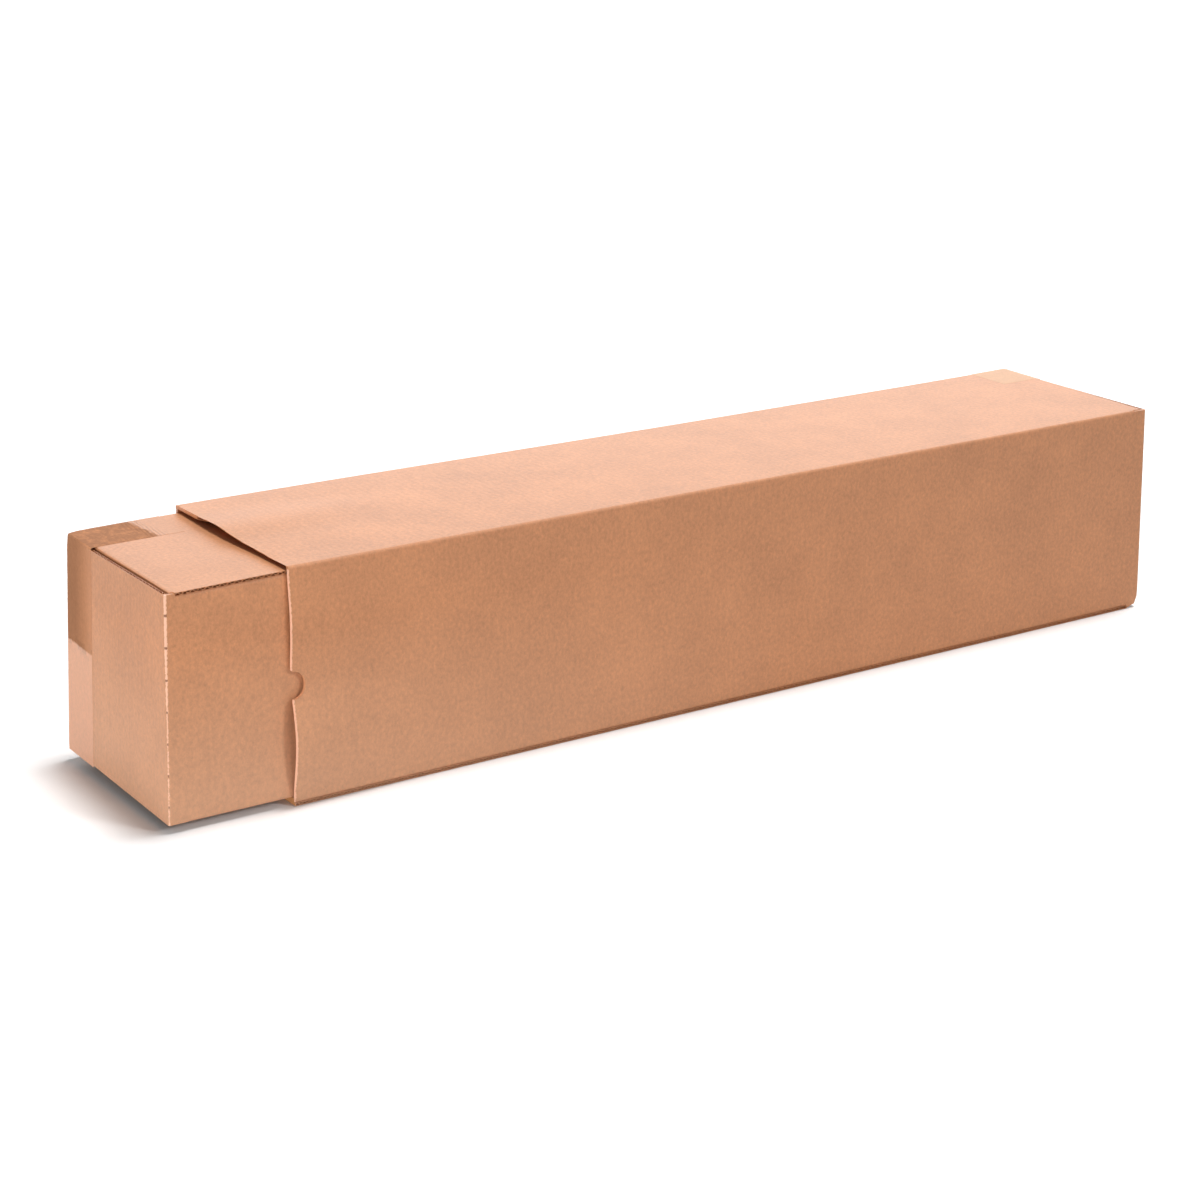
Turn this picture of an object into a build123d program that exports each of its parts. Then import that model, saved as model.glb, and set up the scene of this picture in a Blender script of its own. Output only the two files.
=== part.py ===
from build123d import *
from math import atan, sqrt, tan
import os

# A long square mailing tube of corrugated card, in millimetres: an inner tube slides in a sleeve.
# Each of the two is one folded blank, shut at one end by four flaps and a strip of tape.
# Frame: X along the tube, the sleeve's shut end at +X; -Y is the front; Z is up, 0 is the floor.

# Corrugated board, its flutes running round the tube
BOARD = 3.2
FLUTE_PITCH = 6.87
LINER = 0.45
FLUTE_WALL = 0.45
FLUTE_DEPTH = 10.0
FOLD_CREASE = 0.6

# Outside of the inner tube
INNER_WIDTH = 211.0
INNER_HEIGHT = 207.0

# How the inner tube fits in the sleeve
SIDE_PLAY = 0.8
REST_PLAY = 0.3
TOP_PLAY = 0.6
END_PLAY = 2.4

# Outside length of the sleeve, and how far the inner tube stands out of it
SLEEVE_LENGTH = 1016.0
PULLED_OUT = 114.0

# The glued joint: a tab on the front panel goes under the next panel's cut edge
TAB_WIDTH = 35.0
TAB_STUB = 3.0
TAB_TRIM = 6.0
TAB_TAPER = 12.0

# End flaps, numbered from the inside out
LEAF_GAP = 0.3
EDGE_GAP = 2.0
FLAP_PLAY = 1.0
SLOT_ROOT = 2.0

# Thumb notch in the mouth of the sleeve's front panel, and how high its middle is
NOTCH_RADIUS = 12.7
NOTCH_EASE = 2.0
NOTCH_HEIGHT = 111.0

# Packing tape over the last flap's free edge
TAPE_WIDTH = 50.0
TAPE_THICKNESS = 0.12
SLEEVE_TAPE_TAIL = 53.0
INNER_TAPE_TAIL = 95.0

# How far a cutting shape reaches past the board it cuts
CUT_OVER = 1.0

# Sizes that follow from the others
FOLD_RADIUS = BOARD + FOLD_CREASE
SLEEVE_WIDTH = INNER_WIDTH + 2 * (SIDE_PLAY + BOARD)
SLEEVE_HEIGHT = INNER_HEIGHT + REST_PLAY + TOP_PLAY + 3 * BOARD
LAYER = BOARD + LEAF_GAP
FLAP_COUNT = 4
CLOSURE = FLAP_COUNT * BOARD + (FLAP_COUNT - 1) * LEAF_GAP
INNER_LENGTH = SLEEVE_LENGTH - CLOSURE - END_PLAY

# The sides whose flaps are folded in first, second, third and last.
# Each tube is drawn with its glued joint at the bottom; the inner one is then turned over.
SLEEVE_ORDER = ("bottom", "back", "top", "front")
INNER_ORDER = ("top", "back", "bottom", "front")
NEIGHBOURS = {
    "bottom": ("front", "back"),
    "top": ("front", "back"),
    "front": ("bottom", "top"),
    "back": ("bottom", "top"),
}
OPPOSITE = {"bottom": "top", "top": "bottom", "front": "back", "back": "front"}


def outline(points):
    """A face inside straight runs from point to point."""
    return Face(Wire(Polyline(*points, close=True).edges()))


def prism(face, length):
    """A face drawn in the XY plane, pushed up by a length."""
    return extrude(face, length, dir=(0, 0, 1))


def beside(points, distance):
    """The same path shifted to its left by a distance, with its corners kept sharp."""
    path = [Vector(*point) for point in points]
    lefts = [(b - a).normalized().rotate(Axis.Z, 90) for a, b in zip(path, path[1:])]
    pairs = zip([lefts[0]] + lefts, lefts + [lefts[-1]])
    return [point + (a + b) * (distance / (1 + a.dot(b))) for point, (a, b) in zip(path, pairs)]


def folded(points):
    """The section of a board folded to its left, whose outer face runs through the points."""
    inner_points = beside(points, BOARD)
    outer = FilletPolyline(*points, radius=FOLD_RADIUS)
    inner = FilletPolyline(*inner_points, radius=FOLD_CREASE)
    ends = [Line(points[0], inner_points[0]), Line(points[-1], inner_points[-1])]
    return Face(Wire([edge for line in [outer, inner] + ends for edge in line.edges()]))


def flute_holes(length, place):
    """The open flutes in a cut edge: wires of the gaps on both sides of the wavy paper.

    place turns a distance along the edge and one through the board into a point.
    """
    half = FLUTE_PITCH / 2 - FLUTE_WALL
    low, high = LINER, BOARD - LINER
    count = int((length - FLUTE_PITCH) / FLUTE_PITCH)
    start = (length - count * FLUTE_PITCH) / 2
    holes = []
    for number in range(count):
        middle = start + number * FLUTE_PITCH + FLUTE_PITCH / 4
        crest = middle + FLUTE_PITCH / 2
        under = [(middle - half, low), (middle + half, low), (middle, high - FLUTE_WALL)]
        over = [(crest - half, high), (crest + half, high), (crest, low + FLUTE_WALL)]
        holes += [[place(*point) for point in corners] for corners in (under, over)]
    return [Wire(Polyline(*corners, close=True).edges()) for corners in holes]


def on_side(side, width, height, low, high):
    """A plane on a panel's outer face: x along the tube, y into the board, z across the panel."""
    origin, across = {
        "bottom": ((0, high, 0), (0, -1, 0)),
        "top": ((0, low, height), (0, 1, 0)),
        "front": ((0, 0, low), (0, 0, 1)),
        "back": ((0, width, high), (0, 0, -1)),
    }[side]
    return Plane(origin=origin, x_dir=(1, 0, 0), z_dir=across)


def flap(side, order, width, height, length, slot):
    """One end flap with the stretch of its panel past the slots, folded over the tube's end."""
    layer = order.index(side)
    face_x = length - (FLAP_COUNT - 1 - layer) * LAYER
    inside = BOARD + FLAP_PLAY
    across = height if side in ("front", "back") else width
    depth = width if side in ("front", "back") else height
    passes = [order.index(other) > layer for other in NEIGHBOURS[side] + (OPPOSITE[side],)]
    low, far, tip = (inside if beside else EDGE_GAP for beside in passes)
    high, reach = across - far, depth - tip
    section = folded([(slot, 0), (face_x, 0), (face_x, reach)])
    if layer < FLAP_COUNT - 1:
        return on_side(side, width, height, low, high) * prism(section, high - low)
    holes = flute_holes(reach - FOLD_RADIUS, lambda s, t: (face_x - t, s + FOLD_RADIUS))
    fluted = prism(Face(section.outer_wire(), holes), FLUTE_DEPTH)
    middle = prism(section, high - low - 2 * FLUTE_DEPTH)
    stack = fluted + Pos(Z=FLUTE_DEPTH) * middle + Pos(Z=high - low - FLUTE_DEPTH) * fluted
    return on_side(side, width, height, low, high) * stack


def tab_offcuts(slot):
    """What the cutter takes off the two ends of the glue tab, leaving a short stub by the fold."""
    stub = FOLD_RADIUS + TAB_STUB
    ends = []
    for end, inward in ((0.0, 1.0), (slot, -1.0)):
        outside = end - inward * CUT_OVER
        root = end + inward * TAB_TRIM
        corners = [
            (outside, stub),
            (root, stub),
            (root + inward * TAB_TAPER, TAB_WIDTH + CUT_OVER),
            (outside, TAB_WIDTH + CUT_OVER),
        ]
        ends.append(Pos(Z=BOARD) * prism(outline(corners), BOARD + CUT_OVER))
    return ends


def notch():
    """The thumb notch: a half circle whose two corners at the mouth are eased."""
    apart = NOTCH_RADIUS + NOTCH_EASE
    share = NOTCH_EASE / apart
    mouth_z = sqrt(apart**2 - NOTCH_EASE**2)
    meet_x, meet_z = share * NOTCH_RADIUS, mouth_z * NOTCH_RADIUS / apart
    ease_x = NOTCH_EASE * (1 - sqrt((1 + share) / 2))
    ease_z = mouth_z - NOTCH_EASE * sqrt((1 - share) / 2)
    lines = [
        ThreePointArc((0, mouth_z), (ease_x, ease_z), (meet_x, meet_z)),
        ThreePointArc((meet_x, meet_z), (NOTCH_RADIUS, 0), (meet_x, -meet_z)),
        ThreePointArc((meet_x, -meet_z), (ease_x, -ease_z), (0, -mouth_z)),
        Polyline((0, -mouth_z), (-CUT_OVER, -mouth_z), (-CUT_OVER, mouth_z), (0, mouth_z)),
    ]
    shape = Face(Wire([edge for line in lines for edge in line.edges()]))
    front = Plane(origin=(0, -CUT_OVER, NOTCH_HEIGHT), x_dir=(1, 0, 0), z_dir=(0, 1, 0))
    return front * prism(shape, BOARD + 2 * CUT_OVER)


def tube(width, height, length, order, cuts=()):
    """One folded and glued blank with its mouth at x = 0 and its flaps at the other end."""
    slot = length - (FLAP_COUNT - 1) * LAYER - FOLD_RADIUS - SLOT_ROOT
    across_tube = Plane(origin=(0, 0, 0), x_dir=(0, 1, 0), z_dir=(1, 0, 0))
    around = [(width / 2, 0), (width, 0), (width, height), (0, height), (0, BOARD), (TAB_WIDTH, BOARD)]
    wrap = across_tube * prism(folded(around), slot) - tab_offcuts(slot) - list(cuts)
    edge = outline([(0, 0), (slot, 0), (slot, BOARD), (0, BOARD)])
    cut_edge = Plane(origin=(0, 0, 0), x_dir=(1, 0, 0), z_dir=(0, -1, 0))
    holes = flute_holes(slot, lambda s, t: (s, t))
    fluted = cut_edge * prism(Face(edge.outer_wire(), holes), -FLUTE_DEPTH)
    plain = Pos(Y=FLUTE_DEPTH) * (cut_edge * prism(edge, FLUTE_DEPTH - width / 2))
    flaps = [flap(side, order, width, height, length, slot) for side in order]
    return wrap + [plain, fluted] + flaps


def tape(width, height, length, tail, facing):
    """A strip of tape up the shut end's back edge, and over the panel it holds the last flap to.

    facing is 1 where that panel is drawn at the top and -1 where it is drawn at the bottom.
    """
    fold_x = LAYER + FOLD_RADIUS
    slope = atan(EDGE_GAP / fold_x)
    over = fold_x - FOLD_RADIUS * tan(slope / 2)
    panel = height if facing > 0 else 0.0
    path = [
        (length, height - panel + facing * EDGE_GAP),
        (length, panel - facing * over * tan(slope)),
        (length - over, panel),
        (length - tail, panel),
    ]
    strip = outline(path + beside(path, -facing * TAPE_THICKNESS)[::-1])
    along = Plane(origin=(0, width - FOLD_RADIUS, 0), x_dir=(1, 0, 0), z_dir=(0, -1, 0))
    return along * prism(strip, TAPE_WIDTH)


sleeve = tube(SLEEVE_WIDTH, SLEEVE_HEIGHT, SLEEVE_LENGTH, SLEEVE_ORDER, [notch()])
inner = tube(INNER_WIDTH, INNER_HEIGHT, INNER_LENGTH, INNER_ORDER)
sleeve_tape = tape(SLEEVE_WIDTH, SLEEVE_HEIGHT, SLEEVE_LENGTH, SLEEVE_TAPE_TAIL, 1)
inner_tape = tape(INNER_WIDTH, INNER_HEIGHT, INNER_LENGTH, INNER_TAPE_TAIL, -1)

# In place: the sleeve and its tape, then the inner tube and its tape turned over and pulled out
MOUTH_X = (PULLED_OUT - SLEEVE_LENGTH) / 2
SLEEVE_PLACE = Location((MOUTH_X, -SLEEVE_WIDTH / 2, 0))
INNER_PLACE = Location(
    (MOUTH_X - PULLED_OUT + INNER_LENGTH, -INNER_WIDTH / 2, 2 * BOARD + REST_PLAY + INNER_HEIGHT),
    (0, 180, 0),
)
nodes = {
    "outer_sleeve": SLEEVE_PLACE * sleeve,
    "outer_tape": SLEEVE_PLACE * sleeve_tape,
    "inner_tube": INNER_PLACE * inner,
    "inner_tape": INNER_PLACE * inner_tape,
}

os.makedirs("parts", exist_ok=True)
for name, solid in nodes.items():
    export_step(solid, f"parts/{name}.step")
    box = solid.bounding_box()
    print(name, tuple(round(v, 2) for v in box.min), tuple(round(v, 2) for v in box.max))
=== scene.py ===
# %% [markdown]
# # A square mailing tube of corrugated card
# The object is a long square box in two halves: an inner tube that slides in an outer sleeve.
# Each half is one sheet of brown corrugated board, folded, glued along one edge and taped shut at
# one end. Here every half is modelled as it is made: a flat panel that is extruded round the tube,
# with its flaps pulled from its end and its thickness given last. All lengths are in metres.

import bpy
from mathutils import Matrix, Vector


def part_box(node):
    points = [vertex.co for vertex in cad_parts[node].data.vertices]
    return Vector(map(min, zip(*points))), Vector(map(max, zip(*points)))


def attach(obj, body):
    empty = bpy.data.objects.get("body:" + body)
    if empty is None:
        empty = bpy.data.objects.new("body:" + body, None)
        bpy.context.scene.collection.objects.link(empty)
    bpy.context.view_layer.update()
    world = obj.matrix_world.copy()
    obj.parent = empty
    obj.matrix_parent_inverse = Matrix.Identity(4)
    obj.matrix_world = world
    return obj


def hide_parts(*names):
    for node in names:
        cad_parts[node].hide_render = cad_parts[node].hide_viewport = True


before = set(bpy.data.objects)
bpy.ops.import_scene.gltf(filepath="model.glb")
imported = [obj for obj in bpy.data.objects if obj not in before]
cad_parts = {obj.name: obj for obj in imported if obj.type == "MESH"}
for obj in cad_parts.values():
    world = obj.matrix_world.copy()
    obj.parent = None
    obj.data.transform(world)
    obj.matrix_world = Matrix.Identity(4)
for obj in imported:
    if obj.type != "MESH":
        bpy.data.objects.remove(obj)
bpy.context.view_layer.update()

# %% [markdown]
# ## The sizes of the board and of the two tubes
# The outside sizes are read from the solids, so that the pieces stay on them. What the solids don't
# tell is the board itself: how thick it is, how much of a panel its fold takes up, and how far apart
# two folded-in flaps lie. A last value is a step too small to see, for edges that need a place of
# their own. The tube runs along x, its width is along y, and z is up.

# %% Sizes
import math

import bmesh
import bpy
from mathutils import Matrix, Vector

BOARD = 0.0032
FOLD = 0.0038
LAYER = 0.0035
TINY = 0.0002
ALONG, ACROSS, UP = range(3)

sleeve_low, sleeve_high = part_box("outer_sleeve")
inner_low, inner_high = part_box("inner_tube")
SLEEVE_SIZE = sleeve_high - sleeve_low
INNER_SIZE = inner_high - inner_low
print("sleeve", [round(v, 4) for v in SLEEVE_SIZE], "inner", [round(v, 4) for v in INNER_SIZE])

# %% [markdown]
# ## Choosing what an operator acts on
# Operators act on whatever is selected. One small helper leaves a single piece selected, and a
# second one picks the vertices, edges or faces of the open mesh that pass a test of their place.

# %% Selection helpers
def only(piece):
    """Leaves just this piece selected and active."""
    if bpy.context.object and bpy.context.object.mode != "OBJECT":
        bpy.ops.object.mode_set(mode="OBJECT")
    bpy.ops.object.select_all(action="DESELECT")
    if piece:
        piece.select_set(True)
        bpy.context.view_layer.objects.active = piece


def pick(kind, test):
    """Selects the parts of the open mesh whose middle, and whose self, pass the test."""
    bpy.ops.mesh.select_mode(type={"verts": "VERT", "edges": "EDGE", "faces": "FACE"}[kind])
    bpy.ops.mesh.select_all(action="DESELECT")
    mesh = bmesh.from_edit_mesh(bpy.context.object.data)
    count = 0
    for part in getattr(mesh, kind):
        corners = [part] if kind == "verts" else part.verts
        middle = sum((v.co for v in corners), Vector()) / len(corners)
        if test(part, middle):
            part.select_set(True)
            count += 1
    mesh.select_flush_mode()
    bmesh.update_edit_mesh(bpy.context.object.data)
    return count


def near(a, b):
    """True where two lengths are the same to within a fiftieth of a millimetre."""
    return abs(a - b) < 2e-5


only(None)
print("selected after the clean start:", len(bpy.context.selected_objects))

# %% [markdown]
# ## Folding the sheet round the tube
# A real blank is one sheet, creased and wrapped round, whose last panel ends in a narrow glue tab
# that lies under the cut edge of the first. A cube with its ends taken off would have no such
# joint. So the bottom panel is added as a plane and its back edge is extruded up, forward, down
# and under, and bevels then give the creases the round corner that thick board makes. A profile
# of a half would be a quarter of a circle; board folds more tightly than that.

# %% Wrap a panel round
CREASE = 0.72
TAB = 0.035
SLOT_ROOT = 0.002


def extrude(*move):
    """Pulls what is selected out of the mesh by a move."""
    bpy.ops.mesh.extrude_region_move(TRANSFORM_OT_translate={"value": move})


def crease():
    """Gives the selected folds their corner, which is tighter than a quarter of a circle."""
    bpy.ops.mesh.bevel(offset=FOLD, offset_type="OFFSET", segments=6, profile=CREASE, affect="EDGES")


def wrap_round(name, size, slit):
    """An open tube of thin sheet with its mouth at x = 0 and its joint at the bottom front."""
    length, width, height = size
    slot = length - 3 * LAYER - slit - FOLD - SLOT_ROOT
    only(None)
    bpy.ops.mesh.primitive_plane_add(size=1, location=(slot / 2, 0, 0))
    piece = bpy.context.object
    piece.name = name
    piece.scale = (slot, width, 1)
    bpy.ops.object.transform_apply(location=True, rotation=True, scale=True)
    bpy.ops.object.mode_set(mode="EDIT")
    bpy.ops.mesh.flip_normals()
    pick("edges", lambda edge, middle: near(middle.y, width / 2))
    for move in ((0, 0, height), (0, -width, 0), (0, 0, BOARD - height), (0, TAB, 0)):
        extrude(*move)
    folds = [(width / 2, 0), (width / 2, height), (-width / 2, height), (-width / 2, BOARD)]
    pick("edges", lambda edge, middle: edge.calc_length() > slot / 2 and any(
        near(middle.y, y) and near(middle.z, z) for y, z in folds))
    crease()
    return piece, slot


for name, size in (("sleeve", SLEEVE_SIZE), ("inner tube", INNER_SIZE)):
    print(name, "takes a sheet", round(2 * (size.y + size.z) - BOARD + TAB, 3), "wide")

# %% [markdown]
# ## Pulling the flaps from the end
# All four panels carry on past their corner slots as flaps that are folded over the end, one on
# another. The front flap is the last one, and the tape holds it. Each is extruded from its own
# panel, so the sheet stays in one piece, and only its fold is bevelled. At the joint the bottom
# panel keeps its full width until just before it folds, so its open flutes run to the corner.
# The last flap is cut a little narrower towards its tip, and a thin slit is left under it.

# %% Fold the flaps in
EDGE_GAP = 0.0006
INSIDE_GAP = 0.0035
TAPER = 0.0022
SLEEVE_ORDER = ("bottom", "back", "top", "front")
INNER_ORDER = ("top", "back", "bottom", "front")


def narrow(across, wanted):
    """Moves the two ends of the edge just pulled out to where its flap is to start and end."""
    mesh = bmesh.from_edit_mesh(bpy.context.object.data)
    row = sorted((vert for vert in mesh.verts if vert.select), key=lambda vert: vert.co[across])
    ends = {vert.index: place - vert.co[across] for vert, place in zip((row[0], row[-1]), wanted)}
    for index, distance in ends.items():
        pick("verts", lambda vert, middle: vert.index == index)
        bpy.ops.transform.translate(value=[distance if axis == across else 0 for axis in range(3)])
    pick("edges", lambda edge, middle: all(vert.index in ends for vert in edge.verts))


def add_flaps(size, slot, order, slit):
    """Four flaps on the open mesh, in the order in which they are folded in."""
    length, width, height = size
    last = len(order) - 1
    knee = length - (last - order.index("bottom")) * LAYER - slit - FOLD - 2 * TINY
    # Each side's width axis, the axis it turns to, its panel's place on that axis, which way is
    # inward, the sides beside it, and the side that its tip comes to.
    sides = {
        "bottom": (ACROSS, UP, 0.0, 1, ("front", "back"), "top"),
        "top": (ACROSS, UP, height, -1, ("front", "back"), "bottom"),
        "front": (UP, ACROSS, -width / 2, 1, ("bottom", "top"), "back"),
        "back": (UP, ACROSS, width / 2, -1, ("bottom", "top"), "front"),
    }
    for side, (across, deep, face, inward, beside, facing) in sides.items():
        layer = order.index(side)
        fold_x = length - (last - layer) * LAYER - (slit if layer < last else 0)
        gaps = [INSIDE_GAP if order.index(other) > layer else EDGE_GAP for other in (*beside, facing)]
        low, high = (0, height) if across == UP else (-width / 2, width / 2)
        reach = (width if across == UP else height) - gaps[2]
        first_gap = {"bottom": 0, "front": BOARD + TINY}.get(side, gaps[0])
        pick("edges", lambda edge, middle: near(middle.x, slot) and near(middle[deep], face)
             and edge.calc_length() > width / 3)
        step = min(knee, fold_x - FOLD - 2 * TINY)
        extrude(TINY, 0, 0)
        narrow(across, (low + first_gap, high - gaps[1]))
        extrude(step - slot - TINY, 0, 0)
        extrude(TINY, 0, 0)
        narrow(across, (low + gaps[0], high - gaps[1]))
        if fold_x - FOLD > step + 3 * TINY:
            extrude(fold_x - FOLD - step - 2 * TINY, 0, 0)
            extrude(FOLD + TINY, 0, 0)
        else:
            extrude(fold_x - step - TINY, 0, 0)
        move = [0, 0, 0]
        move[deep] = inward * reach
        extrude(*move)
        if side == order[-1]:
            narrow(across, (low + gaps[0] + TAPER, high - gaps[1] - TAPER))
        pick("edges", lambda edge, middle: near(middle.x, fold_x) and near(middle[deep], face))
        crease()
    return knee


print("the sleeve's flaps fold in this order:", *SLEEVE_ORDER)
print("the inner tube's flaps, before it is turned over:", *INNER_ORDER)

# %% [markdown]
# ## Cutting the panels finer and giving them thickness
# The flat panels have to bow a little later, and a quad can't bend inside itself, so long edges are
# subdivided. Solidify then pushes a second skin inward and closes the cut edges.
#
# One sheet shows four papers: the smooth liner, the pale edge where the knife went, the darker core,
# and the shade in its hollows. A face is told which it is by its material slot. The slots stay empty
# until the papers are made, and Solidify gives the cut edges theirs by itself.

# %% Build the two blanks
SLEEVE_SLIT = 0.0005
INNER_SLIT = 0.0018
# The last slot is for the dark painted shade in the flutes' hollows.
LINER_SLOT, CUT_SLOT, CORE_SLOT, HOLLOW_SHADE_SLOT = range(4)


def cut_finer(longest, cuts, axis):
    """Subdivides the edges that run along an axis and are longer than a length."""
    def runs(edge, middle):
        span = edge.verts[1].co - edge.verts[0].co
        return span.length > longest and abs(span[axis]) > 0.99 * span.length
    pick("edges", runs)
    bpy.ops.mesh.subdivide(number_cuts=cuts)


def apply_modifier(piece, kind, **settings):
    """Adds a modifier to a piece, sets it and applies it."""
    only(piece)
    modifier = piece.modifiers.new(kind.title(), kind)
    for key, value in settings.items():
        setattr(modifier, key, value)
    bpy.ops.object.modifier_apply(modifier=modifier.name)


def add_slots(piece):
    """Gives a piece an empty material slot for each of the four papers."""
    for slot in (LINER_SLOT, CUT_SLOT, CORE_SLOT, HOLLOW_SHADE_SLOT):
        piece.data.materials.append(None)


def board_tube(name, size, order, slit):
    """One folded blank with its flaps and its thickness, and where its joint's flutes end."""
    piece, slot = wrap_round(name, size, slit)
    knee = add_flaps(size, slot, order, slit)
    for longest, cuts, axis in ((0.5, 83, ALONG), (0.15, 20, ACROSS), (0.15, 20, UP),
                                (0.02, 2, ACROSS)):
        cut_finer(longest, cuts, axis)
    bpy.ops.object.mode_set(mode="OBJECT")
    add_slots(piece)
    apply_modifier(piece, "SOLIDIFY", thickness=BOARD, offset=-1, use_even_offset=True,
                   material_offset_rim=CUT_SLOT)
    return piece, knee


sleeve, sleeve_knee = board_tube("sleeve_board", SLEEVE_SIZE, SLEEVE_ORDER, SLEEVE_SLIT)
inner, inner_knee = board_tube("inner_board", INNER_SIZE, INNER_ORDER, INNER_SLIT)
print("faces", len(sleeve.data.polygons), len(inner.data.polygons))

# %% [markdown]
# ## The thumb notch
# A half round is punched in the mouth of the sleeve's front panel. A boolean with a cylinder is the
# punch itself, and its faces bring the material of a cut edge along. The two sharp corners that it
# leaves are bevelled, because a real die has rounded ones.

# %% Punch the notch
NOTCH = 0.0127
NOTCH_HEIGHT = 0.111
NOTCH_CORNER = 0.0018
front_y = -SLEEVE_SIZE.y / 2
only(None)
bpy.ops.mesh.primitive_cylinder_add(vertices=64, radius=NOTCH, depth=0.02,
                                    location=(0, front_y, NOTCH_HEIGHT),
                                    rotation=(math.pi / 2, 0, 0))
punch = bpy.context.object
punch.name = "punch"
bpy.ops.object.transform_apply(location=True, rotation=True, scale=True)
add_slots(punch)
for face in punch.data.polygons:
    face.material_index = CUT_SLOT
before = len(sleeve.data.polygons)
apply_modifier(sleeve, "BOOLEAN", object=punch, operation="DIFFERENCE", solver="EXACT",
               material_mode="INDEX")
bpy.data.objects.remove(punch)
only(sleeve)
bpy.ops.object.mode_set(mode="EDIT")
corners = pick("edges", lambda edge, middle: abs(middle.x) < 1e-4 and middle.y < front_y + BOARD
               and abs(abs(middle.z - NOTCH_HEIGHT) - NOTCH) < 1e-4
               and abs(edge.verts[0].co.y - edge.verts[1].co.y) > BOARD / 2)
bpy.ops.mesh.bevel(offset=NOTCH_CORNER, offset_type="OFFSET", segments=4, affect="EDGES")
bpy.ops.object.mode_set(mode="OBJECT")
print("punched", before, "to", len(sleeve.data.polygons), "faces, corners rounded", corners)

# %% [markdown]
# ## Opening the cut edges to show the flutes
# Corrugated board is two flat liners with a wavy paper between them. Where a cut crosses the
# flutes, at the glued joint and at the sides of the outer flap, you look into a row of small
# tunnels. A texture would stay flat there. So the edge is inset by the thickness of a liner and
# pushed inward, which leaves a channel. The joint's channel is deep, and its walls are painted dark
# as shade, because little light gets into a flute. The flap's is shallow, where the knife crushed
# the board.

# %% Cut the channels
LINER = 0.0004
CHANNEL = 0.009
CRUSHED = 0.0025


def channel(piece, normal, depth, paper_slot, test):
    """Pushes the cut edge faces that look along a normal into the board."""
    only(piece)
    bpy.ops.object.mode_set(mode="EDIT")
    found = pick("faces", lambda face, middle: face.normal.dot(normal) > 0.9 and test(middle))
    bpy.ops.mesh.inset(thickness=LINER, depth=0)
    extrude(*(-depth * normal))
    mesh = bmesh.from_edit_mesh(piece.data)
    floor = [face for face in mesh.faces if face.select]
    for face in floor:
        face.material_index = paper_slot
        for edge in face.edges:
            for wall in edge.link_faces:
                wall.material_index = paper_slot
    bmesh.update_edit_mesh(piece.data)
    bpy.ops.object.mode_set(mode="OBJECT")
    return found


for piece, size, knee in ((sleeve, SLEEVE_SIZE, sleeve_knee), (inner, INNER_SIZE, inner_knee)):
    length, width, height = size
    # The walls of the joint's channel get the dark painted shade of the hollows.
    joint = channel(piece, Vector((0, -1, 0)), CHANNEL, HOLLOW_SHADE_SLOT,
                    lambda m: near(m.y, -width / 2) and m.z < BOARD and m.x < knee + TINY / 2)
    tips = [channel(piece, Vector((0, 0, way)), CRUSHED, LINER_SLOT,
                    lambda m: m.x > length - BOARD and m.y > -width / 2 + FOLD) for way in (1, -1)]
    print(piece.name, "joint faces", joint, "flap edge faces", tips)

# %% [markdown]
# ## The wavy paper
# One wave of the paper is a small grid whose columns are lifted along a sine. Array repeats it and
# Solidify gives it body. Real flutes are a little crushed by the knife, so the points are moved at
# random by a fraction of a millimetre, and more at the open end. In the joint only the end that the
# knife left is light, and the paper behind it is painted dark, as painted shade.

# %% Lay the wavy paper
FLUTE_PITCH = 0.00687
FLUTE_SPAN = BOARD - 2 * LINER
CREST_GAP = 0.00015
WAVE_STEPS = 8
FLUTE_PAPER = 0.0005
JOINT_CRUSH = 0.00012
JOINT_RECESS = 0.0003
FLAP_CRUSH = 0.0003


def flute_paper(name, count, depth, crush, recess, seed, knife_slot):
    """A wavy strip along x, its open end at y = 0, that reaches into the board along y."""
    only(None)
    bpy.ops.mesh.primitive_grid_add(x_subdivisions=WAVE_STEPS, y_subdivisions=2, size=1)
    paper = bpy.context.object
    paper.name = name
    paper.scale = (FLUTE_PITCH, depth, 1)
    paper.location = (FLUTE_PITCH / 2, depth / 2, 0)
    bpy.ops.object.transform_apply(location=True, rotation=True, scale=True)
    bpy.ops.object.mode_set(mode="EDIT")
    for step in range(WAVE_STEPS + 1):
        lift = (FLUTE_SPAN / 2 - CREST_GAP) * math.sin(2 * math.pi * step / WAVE_STEPS)
        pick("verts", lambda vert, middle: near(middle.x, step * FLUTE_PITCH / WAVE_STEPS))
        bpy.ops.transform.translate(value=(0, 0, lift))
    bpy.ops.object.mode_set(mode="OBJECT")
    apply_modifier(paper, "ARRAY", count=count, use_relative_offset=False,
                   use_constant_offset=True, constant_offset_displace=(FLUTE_PITCH, 0, 0),
                   use_merge_vertices=True, merge_threshold=1e-5)
    bpy.ops.object.mode_set(mode="EDIT")
    pick("verts", lambda vert, middle: middle.y < depth * 0.6)
    bpy.ops.transform.vertex_random(offset=crush, seed=seed)
    pick("verts", lambda vert, middle: middle.y < depth * 0.3)
    bpy.ops.transform.vertex_random(offset=crush, seed=seed + 1)
    bpy.ops.transform.translate(value=(0, recess, 0))
    bpy.ops.object.mode_set(mode="OBJECT")
    add_slots(paper)
    apply_modifier(paper, "SOLIDIFY", thickness=FLUTE_PAPER, offset=0)
    for face in paper.data.polygons:
        at_knife = face.center.y < depth * 0.3 and abs(face.normal.y) > 0.7
        # Faces behind the knife's end get the dark painted shade of the hollows.
        face.material_index = knife_slot if at_knife or recess == 0 else HOLLOW_SHADE_SLOT
    return paper


def place_along(paper, start, along, inward):
    """Turns a strip so that it runs along one direction and reaches in along another."""
    along, inward = Vector(along), Vector(inward)
    turn = Matrix((along, inward, along.cross(inward))).transposed().to_4x4()
    only(paper)
    paper.matrix_world = Matrix.Translation(start) @ turn
    bpy.ops.object.transform_apply(location=True, rotation=True, scale=True)


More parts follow.
